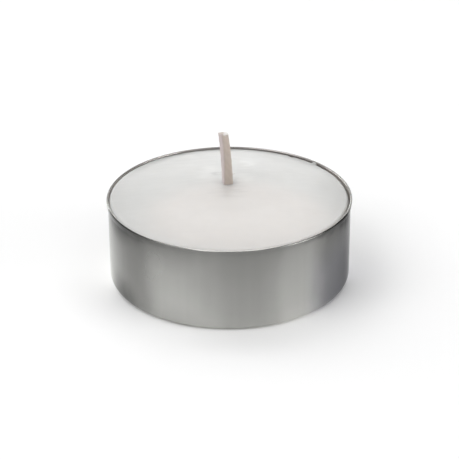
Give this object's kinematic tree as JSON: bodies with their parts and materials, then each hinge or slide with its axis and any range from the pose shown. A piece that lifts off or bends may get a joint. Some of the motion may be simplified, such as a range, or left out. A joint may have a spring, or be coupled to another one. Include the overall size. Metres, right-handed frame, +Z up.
{
  "type": "tea light candle",
  "caption": "Round tea light candle: a shallow drawn aluminium cup with a hemmed rim, filled with white wax round an upright waxed wick.",
  "frame": {"origin": "centre of the cup's underside, on the surface that it stands on", "axes": "+Z up along the cup's axis, -Y towards the front, +X to the right as seen from the front; the wick leans towards -X"},
  "size_m": [0.038, 0.038, 0.0233],
  "materials": {
    "cup_aluminium": "satin, as rolled and drawn",
    "paraffin_wax": "smooth, slightly translucent wax",
    "wick_cotton": "braided cotton soaked in wax",
    "sustainer_steel": "tinned sheet steel"
  },
  "bodies": {
    "root": {"cup": "cup_aluminium", "wax": "paraffin_wax", "wick": "wick_cotton", "wick_sustainer": "sustainer_steel"}
  },
  "joints": []
}
